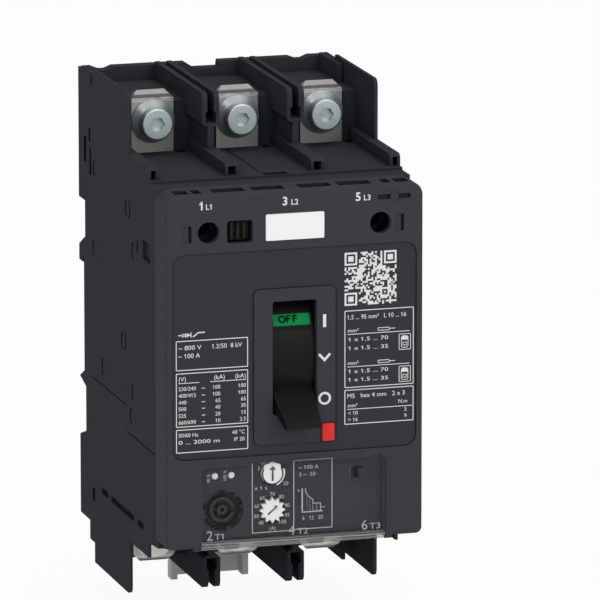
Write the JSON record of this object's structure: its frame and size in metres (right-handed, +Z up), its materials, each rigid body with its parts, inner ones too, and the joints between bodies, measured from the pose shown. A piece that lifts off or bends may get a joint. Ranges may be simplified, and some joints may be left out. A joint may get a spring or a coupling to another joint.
{
  "type": "motor protection breaker",
  "caption": "Three-pole motor protection breaker with rocker handle, trip button, setting dials under a hinged clear flap, screw terminals and rail clip.",
  "frame": {"origin": "middle of the rear mounting plane, at mid-height between the barrier tips and midway across the poles", "axes": "+Z up towards the line terminals, +Y out of the rear face into the panel, so the handle faces -Y; +X to the right seen from the front"},
  "size_m": [0.081, 0.1131, 0.1672],
  "materials": {
    "case": "fine-textured anthracite moulding",
    "cover": "fine-textured anthracite moulding",
    "panel": "smooth anthracite",
    "label": "white card",
    "dark_insert": "near black",
    "handle": "semi-gloss black",
    "steel": "turned",
    "red_button": "satin red",
    "dial": "white",
    "clear": "clear polycarbonate",
    "clip": "light grey",
    "green_flag": "green",
    "red_flag": "red",
    "lamp": "milky lens",
    "pad": null,
    "zinc": "zinc plated"
  },
  "bodies": {
    "case": {"breaker_case": "case", "trip_unit_case": "case", "front_cover": "cover", "rating_panel": "panel", "id_label": "label", "selector_insert": "dark_insert", "handle_pin": "steel", "setting_face": "panel", "test_socket": "dark_insert", "seal_eye": "cover", "lamp_ready": "lamp", "lamp_alarm": "lamp", "line_pad_1": "pad", "line_washer_1": "zinc", "line_screw_1": "zinc", "line_pad_2": "pad", "line_washer_2": "zinc", "line_screw_2": "zinc", "line_pad_3": "pad", "line_washer_3": "zinc", "line_screw_3": "zinc", "load_pad_1": "pad", "load_washer_1": "zinc", "load_screw_1": "zinc", "load_pad_2": "pad", "load_washer_2": "zinc", "load_screw_2": "zinc", "load_pad_3": "pad", "load_washer_3": "zinc", "load_screw_3": "zinc"},
    "handle": {"handle": "handle", "flag_off": "green_flag", "flag_on": "red_flag"},
    "trip_button": {"trip_button": "red_button"},
    "trip_flap": {"trip_flap": "clear"},
    "class_dial": {"class_dial": "dial"},
    "current_dial": {"current_dial": "dial"},
    "rail_clip": {"rail_clip": "clip"}
  },
  "joints": [
    {"name": "handle_rock", "type": "hinge", "parent": "case", "child": "handle", "pos_m": [0, -0.076, 0.0044], "axis": [-1, 0, 0], "range_deg": [0, 56]},
    {"name": "trip_push", "type": "slide", "parent": "case", "child": "trip_button", "axis": [0, 1, 0], "range_m": [0, 0.0025], "stiffness_N_per_m": 800, "springref_m": -0.001},
    {"name": "flap_hinge", "type": "hinge", "parent": "case", "child": "trip_flap", "pos_m": [-0.00035, -0.1019, -0.0528], "axis": [1, 0, 0], "range_deg": [0, 120]},
    {"name": "class_turn", "type": "hinge", "parent": "case", "child": "class_dial", "pos_m": [-0.0065, -0.1008, -0.0318], "axis": [0, -1, 0], "range_deg": [-130, 130]},
    {"name": "current_turn", "type": "hinge", "parent": "case", "child": "current_dial", "pos_m": [-0.0065, -0.1008, -0.0432], "axis": [0, -1, 0], "range_deg": [-140, 140]},
    {"name": "clip_pull", "type": "slide", "parent": "case", "child": "rail_clip", "axis": [0, 0, -1], "range_m": [0, 0.0035], "stiffness_N_per_m": 1500, "springref_m": -0.002}
  ]
}
